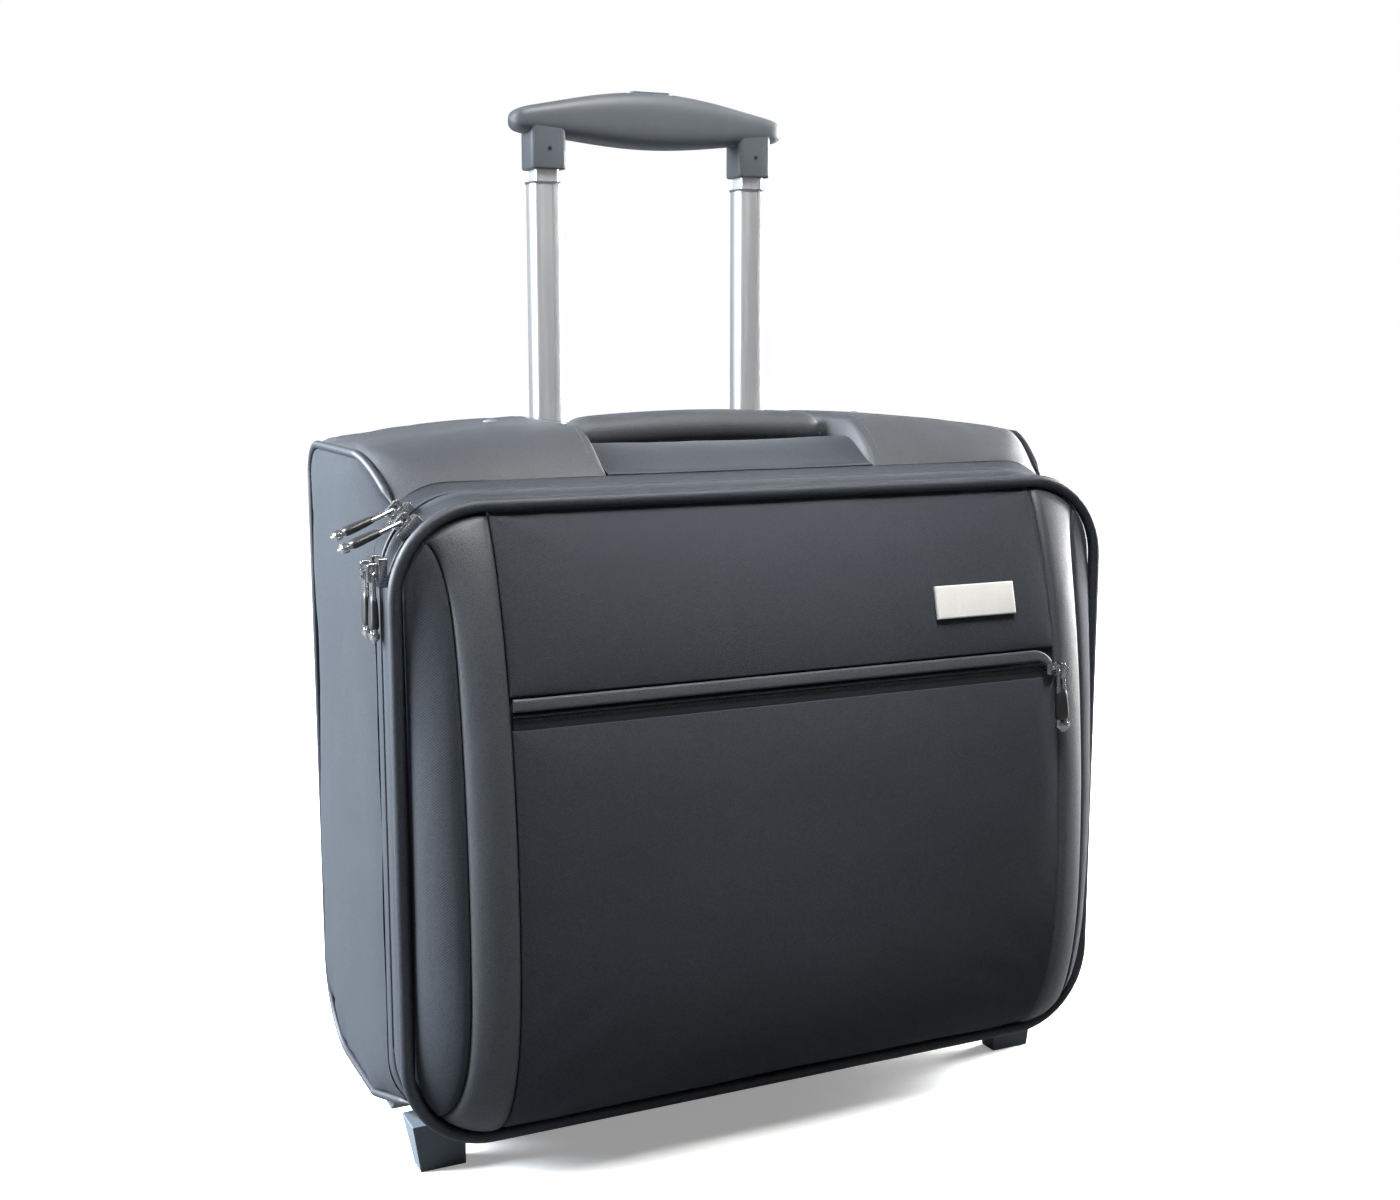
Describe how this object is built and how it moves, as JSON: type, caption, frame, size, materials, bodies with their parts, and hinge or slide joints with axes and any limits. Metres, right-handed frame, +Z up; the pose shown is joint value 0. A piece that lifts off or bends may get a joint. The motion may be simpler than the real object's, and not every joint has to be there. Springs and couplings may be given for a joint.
{
  "type": "wheeled pilot case",
  "caption": "Soft-sided pilot case on wheels and feet, with a telescopic trolley handle, padded grab handle, zipped front lid, middle section and front pocket.",
  "frame": {"origin": "on the floor, under the middle of the bounding box of the whole part as it stands; the middle of the bag itself is at x = 0.0106 m, and its back panel is at y = 0.1143 m", "axes": "+Z up, +X to the right of someone facing the front, the front faces -Y"},
  "size_m": [0.4612, 0.2378, 0.6025],
  "materials": {
    "fabric": "charcoal woven polyester, matt",
    "leather": "charcoal grained synthetic leather, satin",
    "piping": "dark synthetic leather cord",
    "lining": "grey plain-weave lining",
    "plastic": "blue-grey moulded plastic",
    "tyre": "black rubber",
    "aluminium": "satin anodised",
    "steel": "plain steel",
    "sliders": "dark nickel plate",
    "zip": "black nylon coil",
    "badge": "plain off-white plate"
  },
  "bodies": {
    "case": {"axle_left": "steel", "axle_right": "steel", "back_panel": "fabric", "base_panel": "fabric", "case_rim": "fabric", "foot_left": "plastic", "foot_right": "plastic", "outer_tube_left": "steel", "outer_tube_right": "steel", "rivet_left": "steel", "rivet_right": "steel", "side_panel_left": "fabric", "side_panel_right": "fabric", "side_piping_left": "piping", "side_piping_right": "piping", "top_corner_left": "leather", "top_corner_right": "leather", "top_panel": "fabric", "trolley_cover": "lining", "tube_bezel": "plastic", "tube_bracket": "plastic", "wheel_housing_left": "plastic", "wheel_housing_right": "plastic"},
    "trolley_middle": {"middle_tube_left": "aluminium", "middle_tube_right": "aluminium"},
    "trolley_inner": {"inner_tube_left": "aluminium", "inner_tube_right": "aluminium", "tube_socket_left": "plastic", "tube_socket_right": "plastic", "grip": "plastic"},
    "release_button": {"grip_button": "plastic"},
    "wheel_left": {"wheel_hub_left": "plastic", "tyre_left": "tyre"},
    "wheel_right": {"wheel_hub_right": "plastic", "tyre_right": "tyre"},
    "carry_handle": {"grab_handle": "leather"},
    "middle_section": {"middle_band": "fabric", "divider_panel": "lining", "organizer_pocket": "lining"},
    "front_lid": {"lid_gusset": "fabric", "lid_lining": "lining", "lid_piping": "piping", "front_panel_lower": "fabric", "front_panel_upper": "fabric", "pocket_zip": "zip", "badge_plate": "badge", "front_trim_left": "leather", "front_trim_right": "leather", "front_gore_left": "fabric", "front_gore_right": "fabric"},
    "front_zip_top_slider": {"front_zip_top_slider": "sliders"},
    "front_zip_top_pull": {"front_zip_top_pull": "sliders"},
    "front_zip_side_slider": {"front_zip_side_slider": "sliders"},
    "front_zip_side_pull": {"front_zip_side_pull": "sliders"},
    "main_zip_top_slider": {"main_zip_top_slider": "sliders"},
    "main_zip_top_pull": {"main_zip_top_pull": "sliders"},
    "main_zip_side_slider": {"main_zip_side_slider": "sliders"},
    "main_zip_side_pull": {"main_zip_side_pull": "sliders"},
    "pocket_slider": {"pocket_slider": "sliders"},
    "pocket_pull": {"pocket_pull": "sliders"}
  },
  "joints": [
    {"name": "lower_stage_slide", "type": "slide", "parent": "case", "child": "trolley_middle", "axis": [0, 0, 1], "range_m": [-0.146, 0.135]},
    {"name": "upper_stage_slide", "type": "slide", "parent": "trolley_middle", "child": "trolley_inner", "axis": [0, 0, 1], "range_m": [-0.007, 0.28]},
    {"name": "release_button_press", "type": "slide", "parent": "trolley_inner", "child": "release_button", "axis": [0, 0, -1], "range_m": [0, 0.003], "stiffness_N_per_m": 400},
    {"name": "wheel_spin_left", "type": "hinge", "parent": "case", "child": "wheel_left", "pos_m": [-0.16444, 0.07704, 0.026], "axis": [1, 0, 0], "continuous": true},
    {"name": "wheel_spin_right", "type": "hinge", "parent": "case", "child": "wheel_right", "pos_m": [0.18556, 0.07704, 0.026], "axis": [1, 0, 0], "continuous": true},
    {"name": "carry_handle_lift", "type": "slide", "parent": "case", "child": "carry_handle", "axis": [0, 0, 1], "range_m": [0, 0.014]},
    {"name": "middle_section_hinge", "type": "hinge", "parent": "case", "child": "middle_section", "pos_m": [0.01056, -0.04496, 0.027], "axis": [1, 0, 0], "range_deg": [0, 26]},
    {"name": "front_lid_hinge", "type": "hinge", "parent": "middle_section", "child": "front_lid", "pos_m": [0.01056, -0.05896, 0.027], "axis": [1, 0, 0], "range_deg": [0, 48]},
    {"name": "front_zip_top_run", "type": "hinge", "parent": "middle_section", "child": "front_zip_top_slider", "pos_m": [-0.15844, -0.05896, 0.323], "axis": [0, 1, 0], "range_deg": [0, 45]},
    {"name": "front_zip_top_pull_swing", "type": "hinge", "parent": "front_zip_top_slider", "child": "front_zip_top_pull", "pos_m": [-0.19691, -0.05896, 0.36147], "axis": [0, 1, 0], "range_deg": [-10, 110]},
    {"name": "front_zip_side_run", "type": "slide", "parent": "middle_section", "child": "front_zip_side_slider", "axis": [0, 0, -1], "range_m": [0, 0.235]},
    {"name": "front_zip_side_pull_swing", "type": "hinge", "parent": "front_zip_side_slider", "child": "front_zip_side_pull", "pos_m": [-0.21284, -0.05896, 0.336], "axis": [0, 1, 0], "range_deg": [0, 70]},
    {"name": "main_zip_top_run", "type": "hinge", "parent": "case", "child": "main_zip_top_slider", "pos_m": [-0.15844, -0.04496, 0.328], "axis": [0, 1, 0], "range_deg": [0, 45]},
    {"name": "main_zip_top_pull_swing", "type": "hinge", "parent": "main_zip_top_slider", "child": "main_zip_top_pull", "pos_m": [-0.19691, -0.04496, 0.36647], "axis": [0, 1, 0], "range_deg": [-10, 110]},
    {"name": "main_zip_side_run", "type": "slide", "parent": "case", "child": "main_zip_side_slider", "axis": [0, 0, -1], "range_m": [0, 0.235]},
    {"name": "main_zip_side_pull_swing", "type": "hinge", "parent": "main_zip_side_slider", "child": "main_zip_side_pull", "pos_m": [-0.21284, -0.04496, 0.336], "axis": [0, 1, 0], "range_deg": [0, 70]},
    {"name": "pocket_run", "type": "slide", "parent": "front_lid", "child": "pocket_slider", "axis": [-1, 0, 0], "range_m": [0, 0.31]},
    {"name": "pocket_pull_swing", "type": "hinge", "parent": "pocket_slider", "child": "pocket_pull", "pos_m": [0.17456, -0.11586, 0.2635], "axis": [-1, 0, 0], "range_deg": [0, 100]}
  ]
}
